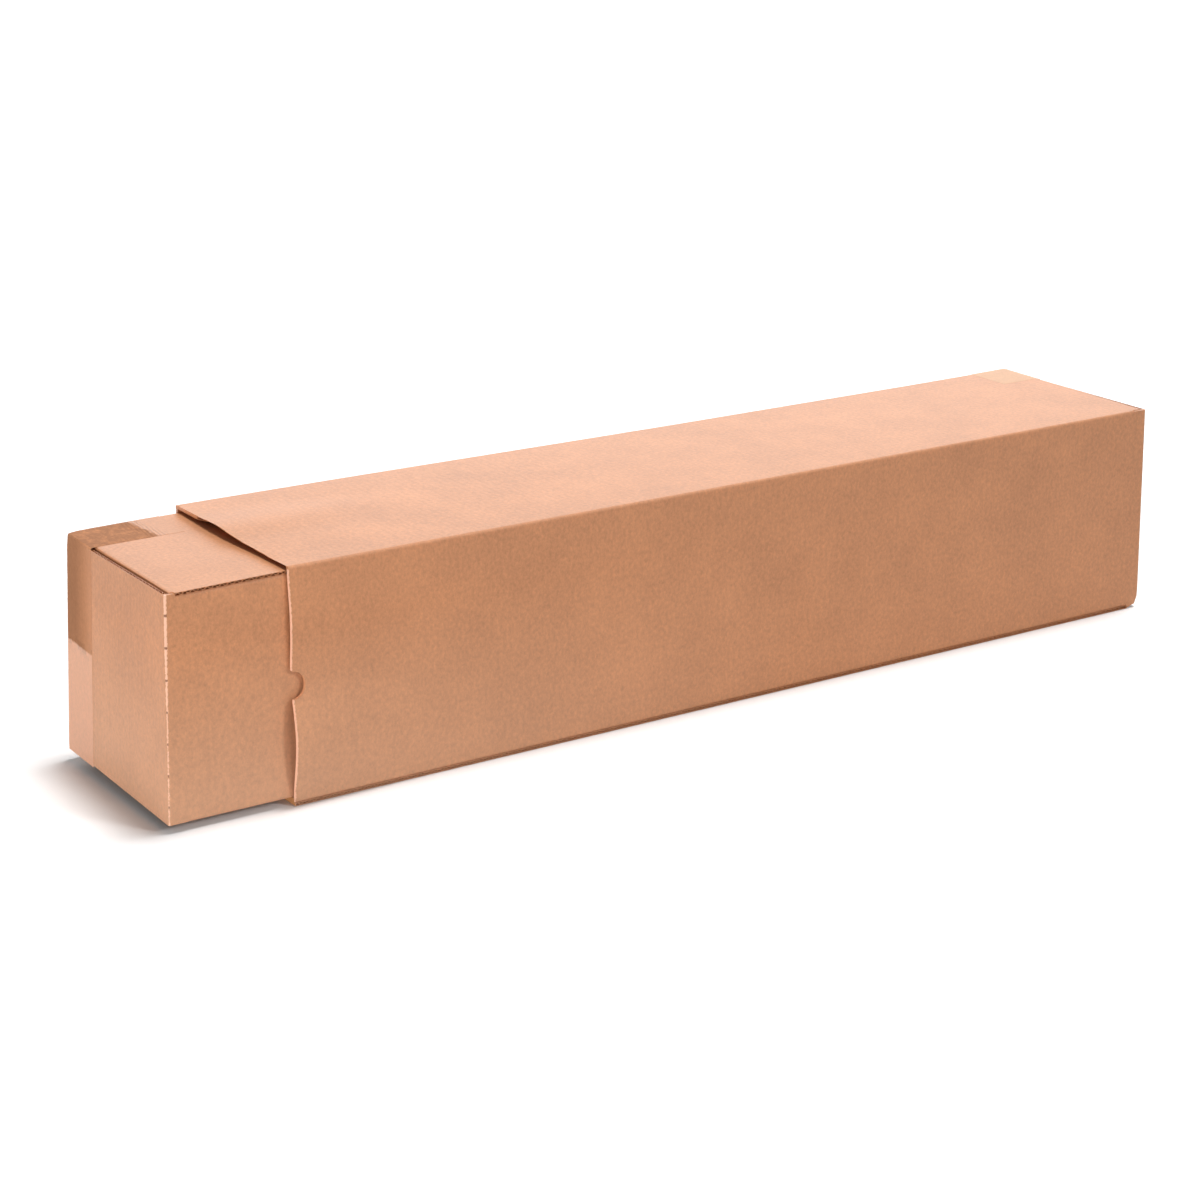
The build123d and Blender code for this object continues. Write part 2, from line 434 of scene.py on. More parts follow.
def join(piece, others):
    """Makes the other meshes part of a piece."""
    only(piece)
    for other in others:
        other.select_set(True)
    bpy.ops.object.join()


for piece, size, knee, seed, knife_slot in ((sleeve, SLEEVE_SIZE, sleeve_knee, 3, LINER_SLOT),
                                            (inner, INNER_SIZE, inner_knee, 9, CUT_SLOT)):
    length, width, height = size
    joint = flute_paper("joint_flutes", int(knee / FLUTE_PITCH), CHANNEL, JOINT_CRUSH, JOINT_RECESS,
                        seed, knife_slot)
    place_along(joint, (TINY, -width / 2, BOARD / 2), (1, 0, 0), (0, 1, 0))
    strips = [joint]
    flap_run = width - FOLD - INSIDE_GAP
    for way, edge_z in ((1, height - EDGE_GAP), (-1, EDGE_GAP)):
        strip = flute_paper("flap_flutes", int(flap_run / FLUTE_PITCH), CRUSHED, FLAP_CRUSH, 0,
                            seed + way, CUT_SLOT)
        sloping = Vector((0, width, -way * TAPER)).normalized()
        start = (length - BOARD / 2, -width / 2 + FOLD, edge_z - way * TAPER * FOLD / width)
        place_along(strip, start, sloping, sloping.cross(Vector((way, 0, 0))))
        strips.append(strip)
    join(piece, strips)
    print(piece.name, "faces with flutes", len(piece.data.polygons))

# %% [markdown]
# ## The torn-looking mouth of the top panel
# In the photo the sleeve's top panel overhangs a dark gap: the knife ran along a flute there, so the
# upper liner stands out past the rest of the board. The cut edge is inset and pushed back, and the
# lower liner follows it, less and less towards the back, where the rim is whole again. The rim of
# the bottom panel and of the tab on it gets the darker core paper. Last, the upper liner's edge is
# made a little uneven.

# %% Push the core back under the top liner
RIM_WHOLE_FROM = 0.062
CORE_BACK = 0.014
BOTTOM_RIM = 2.2 * BOARD
UNEVEN = 0.0005
width, height = SLEEVE_SIZE.y, SLEEVE_SIZE.z
only(sleeve)
bpy.ops.object.mode_set(mode="EDIT")
pick("faces", lambda face, middle: near(middle.x, 0) and middle.z > height - BOARD
     and -width / 2 + FOLD < middle.y < RIM_WHOLE_FROM)
bpy.ops.mesh.inset(thickness=LINER, depth=0)
extrude(CORE_BACK, 0, 0)
mesh = bmesh.from_edit_mesh(sleeve.data)
for face in mesh.faces:
    middle = face.calc_center_median()
    at_rim = face.normal.x < -0.9 and near(middle.x, 0)
    bottom_rim = at_rim and middle.z < BOTTOM_RIM and middle.y > -width / 2 + BOARD
    if face.select or bottom_rim:
        face.material_index = CORE_SLOT
bmesh.update_edit_mesh(sleeve.data)
lip = 0
for start, end, back in ((-width / 2 + FOLD + LINER, 0.04, 0.010), (0.04, 0.05, 0.0065),
                         (0.05, RIM_WHOLE_FROM, 0.003)):
    lip += pick("verts", lambda vert, middle: near(middle.x, 0) and start < middle.y < end
                and height - BOARD - LINER < middle.z < height - BOARD + 2 * LINER)
    bpy.ops.transform.translate(value=(back, 0, 0))
edge = pick("verts", lambda vert, middle: near(middle.x, 0) and middle.z > height - 1.5 * LINER
            and abs(middle.y) < width / 2 - FOLD - LINER)
bpy.ops.transform.vertex_random(offset=UNEVEN, seed=5)
bpy.ops.object.mode_set(mode="OBJECT")
print("lower liner points pushed back", lip, "top liner points made uneven", edge)

# %% [markdown]
# ## The tape
# A strip of clear packing tape runs from the top panel over the end and holds the last flap. It
# spans the small hollow where the panel rounds down, so it is not a copy of the board's surface.
# It is a narrow plane whose edge is extruded along the same way, cut finer so that it can crease.
# On the sleeve it dips by about a millimetre where it goes over the edge, as in the photo.

# %% Lay the tape strips
TAPE_WIDTH = 0.054
FILM = 0.00012
SLEEVE_DIP = 0.0012


def tape_strip(name, size, tail, facing, dip):
    """A strip down the shut end's back edge; facing is 1 over the top panel, -1 over the bottom."""
    length, width, height = size
    panel = height if facing > 0 else 0.0
    over = LAYER + FOLD
    run = [(length - tail, panel), (length - over, panel),
           (length - LAYER, panel - facing * dip / 2),
           (length - 0.0009, panel - facing * (0.0003 + dip)),
           (length, panel - facing * (0.0012 + dip)),
           (length, height - panel + facing * EDGE_GAP)]
    back = width / 2 - 0.3 * FOLD
    only(None)
    bpy.ops.mesh.primitive_plane_add(size=1)
    piece = bpy.context.object
    piece.name = name
    piece.scale = (run[1][0] - run[0][0], TAPE_WIDTH, 1)
    piece.location = ((run[0][0] + run[1][0]) / 2, back - TAPE_WIDTH / 2, panel)
    bpy.ops.object.transform_apply(location=True, rotation=True, scale=True)
    bpy.ops.object.mode_set(mode="EDIT")
    if facing < 0:
        bpy.ops.mesh.flip_normals()
    pick("edges", lambda edge, middle: near(middle.x, run[1][0]))
    for (x0, z0), (x1, z1) in zip(run[1:], run[2:]):
        extrude(x1 - x0, 0, z1 - z0)
    for longest, cuts, axis in ((0.04, 11, ACROSS), (0.03, 11, ALONG), (0.03, 41, UP)):
        cut_finer(longest, cuts, axis)
    bpy.ops.object.mode_set(mode="OBJECT")
    piece.data.materials.append(None)
    apply_modifier(piece, "SOLIDIFY", thickness=FILM, offset=1, use_even_offset=True)
    return piece


sleeve_tape = tape_strip("sleeve_tape_film", SLEEVE_SIZE, 0.053, 1, SLEEVE_DIP)
inner_tape = tape_strip("inner_tape_film", INNER_SIZE, 0.095, -1, 0.0)
print("tape faces", len(sleeve_tape.data.polygons), len(inner_tape.data.polygons))

# %% [markdown]
# ## Putting the two halves in place
# Both were drawn with the joint at the bottom. The sleeve only has to move. The inner tube was
# turned end over end before it went in, so its joint is at the top front and its shut end points
# the other way. The turn is then written into the mesh, because each piece has to stand at the
# origin, unturned.

# %% Place them
SLEEVE_PLACE = Matrix.Translation((sleeve_low.x, 0, sleeve_low.z))
INNER_PLACE = Matrix.Translation((inner_high.x, 0, inner_high.z)) @ Matrix.Rotation(math.pi, 4, "Y")
for piece, place in ((sleeve, SLEEVE_PLACE), (sleeve_tape, SLEEVE_PLACE), (inner, INNER_PLACE),
                     (inner_tape, INNER_PLACE)):
    only(piece)
    piece.matrix_world = place
    bpy.ops.object.transform_apply(location=True, rotation=True, scale=True)
    xs = [v.co.x for v in piece.data.vertices]
    print(piece.name, "from", round(min(xs), 4), "to", round(max(xs), 4))

# %% [markdown]
# ## Where the board is worn and where the tape is loose
# A handled box shows its history at fixed places: the paper has cracked along one upright fold, the
# rims of the mouths are frayed, and the tape sticks tightly in some parts and has let go in others.
# A texture can't know those places, so each is painted as an attribute, one number for every point,
# which the materials then read. A cut just inside each mouth gives the frayed rim points to paint.

# %% Paint the wear and the loose tape
FRAYED = 0.0012
TAPE_MIDDLE = 0.08


def ramp(value, start, end):
    """0 before the start, 1 after the end and a straight line between."""
    return min(max((value - start) / (end - start), 0.0), 1.0)


def paint(piece, name, rule):
    """Writes a number for every point of a piece, worked out from the point's place."""
    layer = piece.data.attributes.new(name, "FLOAT", "POINT")
    for vert, value in zip(piece.data.vertices, layer.data):
        value.value = rule(vert.co)
    painted = sum(1 for value in layer.data if value.value > 0.5)
    print(piece.name, name, "over one half at", painted, "points")


def worn_sleeve(co):
    """The rim of the mouth, least worn on the top panel."""
    most = 0.76 if co.z < sleeve_high.z - FOLD else 0.25
    return most * ramp(FRAYED - (co.x - sleeve_low.x), 0, FRAYED / 2)


def worn_inner(co):
    """The upright fold at the front of the shut end, wider near the top, and the mouth's rim."""
    from_fold = (co.x - inner_low.x) + (co.y - inner_low.y)
    wide = 0.0019 + 0.0005 * ramp(co.z, 0.10, 0.18)
    fold = ramp(wide - from_fold, 0, 0.0010) * ramp(inner_high.z - co.z, -0.001, 0.0005)
    return max(fold, 0.75 * ramp(FRAYED - (inner_high.x - co.x), 0, FRAYED))


def loose_inner(co):
    """Stuck near the end, loose towards the strip's tail; loose again at the foot of the end."""
    if co.z > inner_high.z - 0.012:
        return ramp(co.x - inner_low.x + 0.12 * (co.y - TAPE_MIDDLE), 0.056, 0.074)
    return 1 - ramp(co.z - inner_low.z - 0.02 * (co.y - TAPE_MIDDLE), 0.103, 0.112)


for piece, mouth_at, inside in ((sleeve, sleeve_low.x, 1), (inner, inner_high.x, -1)):
    only(piece)
    bpy.ops.object.mode_set(mode="EDIT")
    pick("faces", lambda face, middle: abs(middle.x - mouth_at) < 0.02)
    bpy.ops.mesh.bisect(plane_co=(mouth_at + inside * FRAYED, 0, 0), plane_no=(1, 0, 0))
    bpy.ops.object.mode_set(mode="OBJECT")
paint(sleeve, "cracked", worn_sleeve)
paint(inner, "cracked", worn_inner)
paint(inner_tape, "loose", loose_inner)
paint(sleeve_tape, "loose", lambda co: 1.0)

# %% [markdown]
# ## Bows at the sleeve's mouth and one knocked corner
# Empty cardboard is never quite flat. Board, flutes and tape have to bend as one, and a lattice does
# that: it is a cage of points round the pieces, and what is inside follows when a few of its points
# are pulled. At the sleeve's mouth the lip lifts at the back and is drawn in there, it is uneven in
# the middle, and the front panel bulges below the notch. A corner of the shut end is knocked in.

# %% Bend the sleeve
MARGIN = 0.001
mouth_x, far_x, top_z, side_y = sleeve_low.x, sleeve_high.x, sleeve_high.z, SLEEVE_SIZE.y / 2


def make_cage(low, high, counts):
    """A lattice between two corners, with so many points along each axis."""
    only(None)
    low, high = Vector(low), Vector(high)
    bpy.ops.object.add(type="LATTICE", location=(low + high) / 2)
    cage = bpy.context.object
    cage.scale = high - low
    cage.data.points_u, cage.data.points_v, cage.data.points_w = counts
    for axis in "uvw":
        setattr(cage.data, "interpolation_type_" + axis, "KEY_CARDINAL")
    bpy.context.view_layer.update()
    return cage


def cage_round(low, high, start, end, counts):
    """A cage round a whole tube of a given box, from one place along it to another."""
    return make_cage((start, low.y - MARGIN, low.z - MARGIN),
                     (end, high.y + MARGIN, high.z + MARGIN), counts)


def shift(cage, point, move):
    """Moves one point of a cage by a length in metres."""
    point.co_deform = point.co_deform + Vector(m / s for m, s in zip(move, cage.scale))


def pull(cage, centre, reach, move):
    """Moves the cage's points round a centre, less and less towards the ends of the reach."""
    for point in cage.data.points:
        place = cage.matrix_world @ point.co
        away = sum(((place[i] - centre[i]) / reach[i]) ** 2 for i in range(3))
        if away < 1:
            shift(cage, point, [m * (1 - away) ** 2 for m in move])


def bend(cage, pieces):
    """Lets the pieces follow the cage, and takes the cage away."""
    for piece in pieces:
        apply_modifier(piece, "LATTICE", object=cage)
    bpy.data.objects.remove(cage)
    print("bent", *(piece.name for piece in pieces))


mouth = cage_round(sleeve_low, sleeve_high, mouth_x - 2 * MARGIN, mouth_x + 0.62, (36, 13, 13))
back_corner = (mouth_x, side_y, top_z)
pull(mouth, back_corner, (0.6, 0.26, 0.1), (0, 0, 0.0021))
pull(mouth, back_corner, (0.06, 0.12, 0.08), (0.0028, 0, 0))
pull(mouth, (mouth_x, 0.024, top_z), (0.2, 0.05, 0.04), (0, 0, 0.0021))
pull(mouth, (mouth_x, -side_y, 0.060), (0.22, 0.06, 0.06), (0.0006, -0.0066, 0))
pull(mouth, (mouth_x, -side_y, 0.165), (0.2, 0.06, 0.05), (0.0008, -0.0016, 0))
pull(mouth, (mouth_x, -0.075, top_z), (0.15, 0.06, 0.03), (0, 0, -0.0004))
bend(mouth, [sleeve])

knock = make_cage((far_x - 0.030, -side_y - MARGIN, -MARGIN), (far_x + MARGIN, -side_y + 0.03, 0.03),
                  (8, 8, 8))
pull(knock, (far_x, -side_y, 0.0), (0.016, 0.024, 0.014), (-0.0026, 0.0015, 0.0021))
bend(knock, [sleeve])

# %% [markdown]
# ## The inner tube's sag, the leaning ends and one crushed corner
# The inner tube's top sags where it leaves the sleeve, and its front is pressed in a little. Neither
# shut end is square, so each of an end's four corners gets its own move, which fades out along the
# tube. The inner tube's mouth leans as the sleeve's shut end does, so that it can still be pushed
# home. Its top corner at the back is a little crushed.

# %% Bend the inner tube and lean the ends
END_REACH = 0.16
LOW_END, HIGH_END = 0, 1
shut_x, open_x, shut_top = inner_low.x, inner_high.x, inner_high.z


def lean(cage, end, corners):
    """Moves one end of a cage by its four corners' moves, fading to nothing at the other end."""
    for point in cage.data.points:
        u, v, w = point.co + Vector((0.5, 0.5, 0.5))
        move = sum((Vector(corners[y][z]) * abs(1 - y - v) * abs(1 - z - w)
                    for y in (0, 1) for z in (0, 1)), Vector())
        shift(cage, point, [m * abs(1 - end - u) ** 1.5 for m in move])


sag = cage_round(inner_low, inner_high, shut_x + 0.02, shut_x + 0.5, (25, 11, 9))
pull(sag, (mouth_x + 0.02, 0.03, shut_top), (0.17, 0.1, 0.04), (0, 0, -0.0012))
pull(sag, (mouth_x + 0.02, inner_low.y, 0.065), (0.1, 0.04, 0.07), (0, 0.0014, 0))
bend(sag, [inner, inner_tape])

shut = cage_round(inner_low, inner_high, shut_x - MARGIN, shut_x + END_REACH, (8, 9, 9))
lean(shut, LOW_END, (((-0.0046, 0, 0), (0.0006, 0, -0.0022)),
                     ((-0.0013, 0, 0.0026), (0.0082, 0, -0.0018))))
bend(shut, [inner, inner_tape])

far = cage_round(sleeve_low, sleeve_high, far_x - END_REACH, far_x + MARGIN, (8, 9, 9))
lean(far, HIGH_END, (((0.0042, 0, 0), (-0.0034, 0, 0)), ((0.0, 0, 0), (0.0030, 0, 0.0009))))
bend(far, [sleeve, sleeve_tape])

open_end = cage_round(inner_low, inner_high, open_x - END_REACH, open_x + MARGIN, (8, 9, 9))
lean(open_end, HIGH_END, (((0.0, 0, 0), (-0.0034, 0, 0)), ((0.0, 0, 0), (-0.0020, 0, -0.0014))))
bend(open_end, [inner])

corner = (shut_x + 0.008, inner_high.y, shut_top - 0.002)
crumple = make_cage(Vector(corner) - Vector((0.014, 0.03, 0.03)),
                    Vector(corner) + Vector((0.03, 0.001, 0.003)), (9, 8, 8))
pull(crumple, corner, (0.012, 0.016, 0.012), (0.0005, -0.0004, -0.0005))
bend(crumple, [inner, inner_tape])

# %% [markdown]
# ## Small helpers for shader nodes
# A node tree is built node by node. These helpers each add one node, or a usual pair, and give
# back the output to link next, so that a pattern reads as a sum.

# %% Node helpers
def add(tree, kind, values=None, **settings):
    """A node with its settings and with the values of its unlinked inputs."""
    node = tree.nodes.new(kind)
    for key, value in settings.items():
        setattr(node, key, value)
    for key, value in (values or {}).items():
        node.inputs[key].default_value = value
    return node


def feed(tree, sockets, values):
    """Links or sets each socket, as its value is another node's output or a plain one."""
    for socket, value in zip(sockets, values):
        if isinstance(value, bpy.types.NodeSocket):
            tree.links.new(value, socket)
        else:
            socket.default_value = value


def math_node(tree, operation, *values):
    """A Math node. Gives its output."""
    node = add(tree, "ShaderNodeMath", operation=operation)
    feed(tree, node.inputs, values)
    return node.outputs[0]


def plus(tree, first, second):
    """The sum of two values."""
    return math_node(tree, "ADD", first, second)


def minus(tree, first, second):
    """The first value less the second."""
    return math_node(tree, "SUBTRACT", first, second)


def times(tree, first, second):
    """The product of two values."""
    return math_node(tree, "MULTIPLY", first, second)


def mix(tree, factor, first, second, blend="MIX"):
    """A Mix node for colours. Gives its output."""
    node = add(tree, "ShaderNodeMix", data_type="RGBA", blend_type=blend)
    feed(tree, (node.inputs[0], node.inputs[6], node.inputs[7]), (factor, first, second))
    return node.outputs[2]


def noise(tree, coordinates, scale, detail=3.0, rough=0.55, stretch=(1, 1, 1)):
    """Smooth noise with so many features in a metre, stretched along the axes."""
    mapping = add(tree, "ShaderNodeMapping", {"Scale": stretch})
    tree.links.new(coordinates, mapping.inputs["Vector"])
    node = add(tree, "ShaderNodeTexNoise", {"Scale": scale, "Detail": detail, "Roughness": rough})
    tree.links.new(mapping.outputs[0], node.inputs["Vector"])
    return node.outputs[0]


def swing(tree, value, amount):
    """How far a noise is from its middle, times an amount."""
    return times(tree, minus(tree, value, 0.5), amount)


def spread(tree, value, low, high):
    """Stretches a value so that low becomes 0 and high becomes 1."""
    node = add(tree, "ShaderNodeMapRange", {"From Min": low, "From Max": high})
    tree.links.new(value, node.inputs["Value"])
    return node.outputs[0]


def split(tree, vector):
    """The x, y and z of a vector."""
    node = tree.nodes.new("ShaderNodeSeparateXYZ")
    tree.links.new(vector, node.inputs[0])
    return node.outputs


def looks_along(tree, facing):
    """1 on faces that look along the tube, as those of its shut end do, and 0 on all others."""
    return math_node(tree, "GREATER_THAN", math_node(tree, "ABSOLUTE", split(tree, facing)[0]), 0.7)


print("node helpers ready, materials so far", len(bpy.data.materials))

# %% [markdown]
# ## The kraft paper
# Kraft board is brown paper whose fibres show as fine streaks and specks, over slow clouds of
# lighter and darker brown, and the flutes show through the liner as faint ribs. Several materials
# need this: the liner, the cut edges and the board seen through tape. It is made once as a node
# group that gives a colour, a roughness and a height. The ribs run round the tube on its sides, and
# up and down on the shut end, so they follow x on the one and y on the other.

# %% Build the paper's node group
LINER_COLOUR = (0.59, 0.255, 0.115)
kraft = bpy.data.node_groups.new("kraft_paper", "ShaderNodeTree")
for name, kind, value in (("Colour", "NodeSocketColor", (*LINER_COLOUR, 1)),
                          ("Contrast", "NodeSocketFloat", 1.0), ("Ribs", "NodeSocketFloat", 1.0)):
    socket = kraft.interface.new_socket(name, in_out="INPUT", socket_type=kind)
    socket.default_value = value
for name, kind in (("Colour", "NodeSocketColor"), ("Roughness", "NodeSocketFloat"),
                   ("Height", "NodeSocketFloat")):
    kraft.interface.new_socket(name, in_out="OUTPUT", socket_type=kind)
given = kraft.nodes.new("NodeGroupInput")
result = kraft.nodes.new("NodeGroupOutput")
where = kraft.nodes.new("ShaderNodeTexCoord")
place = where.outputs["Object"]
x, y, z = split(kraft, place)
on_end = looks_along(kraft, where.outputs["Normal"])
along = plus(kraft, times(kraft, x, minus(kraft, 1.0, on_end)), times(kraft, y, on_end))
rib = math_node(kraft, "SINE", times(kraft, along, 2 * math.pi / FLUTE_PITCH))
clouds = noise(kraft, place, 14, 4, 0.6)
mottle = noise(kraft, place, 300, 4, 0.65, (1, 1, 0.8))
fibres = noise(kraft, place, 620, 3, 0.7, (1.2, 1.2, 0.7))
flecks = noise(kraft, place, 1500, 2, 0.6, (0.5, 0.5, 1.3))

tone = plus(kraft, swing(kraft, clouds, 0.30), swing(kraft, mottle, 0.48))
tone = plus(kraft, tone, swing(kraft, fibres, 0.30))
tone = plus(kraft, tone, times(kraft, rib, times(kraft, given.outputs["Ribs"], 0.006)))
tone = minus(kraft, tone, times(kraft, spread(kraft, flecks, 0.66, 0.76), 0.10))
tone = plus(kraft, times(kraft, tone, given.outputs["Contrast"]), 1.0)
shade = add(kraft, "ShaderNodeVectorMath", operation="SCALE")
kraft.links.new(given.outputs["Colour"], shade.inputs[0])
kraft.links.new(tone, shade.inputs["Scale"])
kraft.links.new(shade.outputs[0], result.inputs["Colour"])

kraft.links.new(plus(kraft, 0.42, times(kraft, fibres, 0.16)), result.inputs["Roughness"])
relief = plus(kraft, times(kraft, fibres, 0.35), times(kraft, mottle, 0.3))
relief = plus(kraft, relief, times(kraft, rib, times(kraft, given.outputs["Ribs"], 0.12)))
kraft.links.new(relief, result.inputs["Height"])
print("kraft paper group with", len(kraft.nodes), "nodes")

# %% [markdown]
# ## The four papers
# The liner, the pale raw edge that a knife leaves, the darker core paper and the painted shade in
# the flutes are all kraft paper in different colours. Only the liner shows the flutes as ribs. The
# hollows are painted dark as shade, because the channel is shallower than a real flute and lets
# more light back out.

# %% Make the papers
def paper_material(name, colour, contrast, ribs, bump):
    """A material of kraft paper in one colour."""
    material = bpy.data.materials.new(name)
    material.use_nodes = True
    tree = material.node_tree
    shader = tree.nodes["Principled BSDF"]
    group = add(tree, "ShaderNodeGroup", node_tree=kraft)
    group.name = "paper"
    group.inputs["Colour"].default_value = (*colour, 1)
    group.inputs["Contrast"].default_value = contrast
    group.inputs["Ribs"].default_value = ribs
    tree.links.new(group.outputs["Colour"], shader.inputs["Base Color"])
    tree.links.new(group.outputs["Roughness"], shader.inputs["Roughness"])
    bumps = add(tree, "ShaderNodeBump", {"Strength": bump, "Distance": 0.0003})
    bumps.name = "relief"
    tree.links.new(group.outputs["Height"], bumps.inputs["Height"])
    tree.links.new(bumps.outputs[0], shader.inputs["Normal"])
    return material


CUT_COLOUR = (0.90, 0.60, 0.42)
CORE_COLOUR = (0.50, 0.22, 0.08)
# Painted shade: a dark colour that stands in for the shade inside the flutes' hollows.
HOLLOW_SHADE_COLOUR = (0.11, 0.04, 0.02)
liner_paper = paper_material("liner_paper", LINER_COLOUR, 1.3, 1.0, 0.6)
cut_edge = paper_material("cut_edge", CUT_COLOUR, 1.2, 0.0, 0.8)
wavy_paper = paper_material("wavy_paper", CORE_COLOUR, 1.2, 0.0, 0.6)
hollow_shade_paper = paper_material("hollow_shade_paper", HOLLOW_SHADE_COLOUR, 1.2, 0.0, 0.6)
print("papers", liner_paper.name, cut_edge.name, wavy_paper.name, hollow_shade_paper.name)

# %% [markdown]
# ## Wear on the liner, with painted shade and painted light
# Where the liner has cracked or frayed, its pale fibres show. The painted attribute says where, and
# a fine noise added to it tears the border of that area. Every few centimetres the cracked fold has
# also split, and the shade in each split is painted as a short dark nick, placed by the height down
# from the top. The board is also painted paler low down on the left, as painted light.

# %% Wear the liner
NICK_TOP = 0.0487
NICK_STEP = 0.0282
# Painted light: this colour makes the board paler low down on the left.
LOW_LEFT_LIGHT_COLOUR = (1.0, 0.76, 0.58, 1)
FIBRE_SHADE = (1.0, 0.60, 0.42, 1)
# Painted shade: the dark colour of the nicks stands in for the shade inside each split.
NICK_SHADOW_COLOUR = (0.30, 0.12, 0.06, 1)
tree = liner_paper.node_tree
place = tree.nodes.new("ShaderNodeTexCoord").outputs["Object"]
crack = add(tree, "ShaderNodeAttribute", attribute_name="cracked").outputs["Fac"]
ragged = noise(tree, place, 420, 3, 0.6)
pale = spread(tree, plus(tree, crack, swing(tree, ragged, 1.4)), 0.42, 0.62)
x, y, z = split(tree, place)

# The nicks are painted shade, placed every few centimetres down the cracked fold.
steps_down = times(tree, minus(tree, shut_top - NICK_TOP, z), 1 / NICK_STEP)
in_step = math_node(tree, "FRACT", plus(tree, steps_down, 0.5))
from_nick = math_node(tree, "ABSOLUTE", minus(tree, in_step, 0.5))
on_fold = times(tree, spread(tree, crack, 0.35, 0.60), math_node(tree, "LESS_THAN", x, shut_x + 0.02))
near_nick = spread(tree, plus(tree, from_nick, times(tree, ragged, 0.06)), 0.080, 0.055)
nick_shadow = times(tree, on_fold, near_nick)

# Painted light: the board is made paler low down and to the left.
low_down = spread(tree, z, 0.16, 0.02)
to_the_left = spread(tree, x, 0.1, -0.45)
painted_low_left_light = times(tree, times(tree, low_down, to_the_left), 0.165)
paper = mix(tree, painted_low_left_light, tree.nodes["paper"].outputs["Colour"], LOW_LEFT_LIGHT_COLOUR)
worn = mix(tree, times(tree, pale, 0.82), paper, FIBRE_SHADE)
worn = mix(tree, nick_shadow, worn, NICK_SHADOW_COLOUR)
tree.links.new(worn, tree.nodes["Principled BSDF"].inputs["Base Color"])
print("liner with wear has", len(tree.nodes), "nodes")

# %% [markdown]
# ## The tape
# Clear tape shows the board under it. Where it sticks, the board looks darker, as if wet. Where it
# has lifted, air under the film makes it paler and a little milky, and in between it is wrinkled.
# So the tape is kraft paper again, with a tint that the painted attribute chooses: one where it
# sticks, apart from small patches, and one where it has lifted. That one has a lit copy of its own on
# the shut end, paler on the inner tube, as painted light, and more milky haze there as a painted
# highlight. There the dark tint also fades towards the strip's front edge. The wrinkles are the
# streaks of a wave texture, kept to the border between stuck and loose. They are bumps, and their
# creases are also painted darker as shade.

# %% Make the tape
# The wrinkle colour is painted shade for the creases. The haze colour is milky film and painted
# glare.
WRINKLE_PAINTED_SHADE = (0.45, 0.42, 0.40, 1)
MILK_AND_GLARE_WHITE = (0.9, 0.9, 0.9, 1)
ALMOST_CLEAR = (0.98, 0.98, 0.98, 1)


def tape_material(name, stuck, lifted, lifted_lit_on_end):
    """Board seen through tape: one tint where the tape sticks, another where it has lifted, lit on
    the shut end.
    """
    material = paper_material(name, LINER_COLOUR, 0.8, 0.6, 0.25)
    tree = material.node_tree
    shader = tree.nodes["Principled BSDF"]
    board = tree.nodes["paper"].outputs
    where = tree.nodes.new("ShaderNodeTexCoord")
    place = where.outputs["Object"]
    loose = add(tree, "ShaderNodeAttribute", attribute_name="loose").outputs["Fac"]
    broken = noise(tree, place, 190, 4, 0.7)
    lifting = spread(tree, plus(tree, loose, swing(tree, broken, 0.5)), 0.40, 0.60)

    between = times(tree, times(tree, loose, minus(tree, 1.0, loose)), 4.0)
    slant = add(tree, "ShaderNodeMapping", {"Rotation": (0, 0, math.radians(7))})
    tree.links.new(place, slant.inputs["Vector"])
    waves = {"Scale": 90.0, "Distortion": 3.0, "Detail": 2.0, "Detail Scale": 1.2}
    streaks = add(tree, "ShaderNodeTexWave", waves, wave_type="BANDS", bands_direction="X")
    tree.links.new(slant.outputs[0], streaks.inputs["Vector"])
    folds = spread(tree, streaks.outputs["Fac"], 0.35, 0.75)
    wrinkle = times(tree, folds, spread(tree, between, 0.0, 0.5))

    on_end = looks_along(tree, where.outputs["Normal"])
    faint = times(tree, on_end, spread(tree, split(tree, place)[1], 0.086, 0.050))
    patches = spread(tree, noise(tree, place, 170, 4, 0.7, (1, 0.6, 1)), 0.46, 0.68)
    patches = math_node(tree, "MAXIMUM", times(tree, patches, minus(tree, 0.8, on_end)), 0.0)
    tight = mix(tree, math_node(tree, "MAXIMUM", faint, patches), (*stuck, 1), ALMOST_CLEAR)
    # Painted light: lifted tape gets its own lit tint on the shut end.
    lifted_tint_by_face = mix(tree, on_end, (*lifted, 1), (*lifted_lit_on_end, 1))
    tint = mix(tree, lifting, tight, lifted_tint_by_face)
    # Painted shade: the wrinkles' creases are darkened.
    tint = mix(tree, times(tree, wrinkle, 0.35), tint, WRINKLE_PAINTED_SHADE)
    seen = mix(tree, 1.0, board["Colour"], tint, "MULTIPLY")
    # Painted highlight: the milky haze is stronger on the shut end.
    haze_and_end_glare = plus(tree, 0.03, times(tree, on_end, 0.12))
    seen = mix(tree, times(tree, lifting, haze_and_end_glare), seen, MILK_AND_GLARE_WHITE)
    tree.links.new(seen, shader.inputs["Base Color"])

    tree.links.new(times(tree, lifting, 0.04), shader.inputs["Coat Weight"])
    smooth = times(tree, 0.38, math_node(tree, "MAXIMUM", lifting, faint))
    tree.links.new(minus(tree, 0.85, smooth), shader.inputs["Roughness"])
    shader.inputs["Coat Roughness"].default_value = 0.35
    shader.inputs["Specular IOR Level"].default_value = 0.2
    raised = plus(tree, times(tree, board["Height"], 0.3), times(tree, wrinkle, 0.8))
    tree.links.new(raised, tree.nodes["relief"].inputs["Height"])
    tree.nodes["relief"].inputs["Strength"].default_value = 0.5
    return material


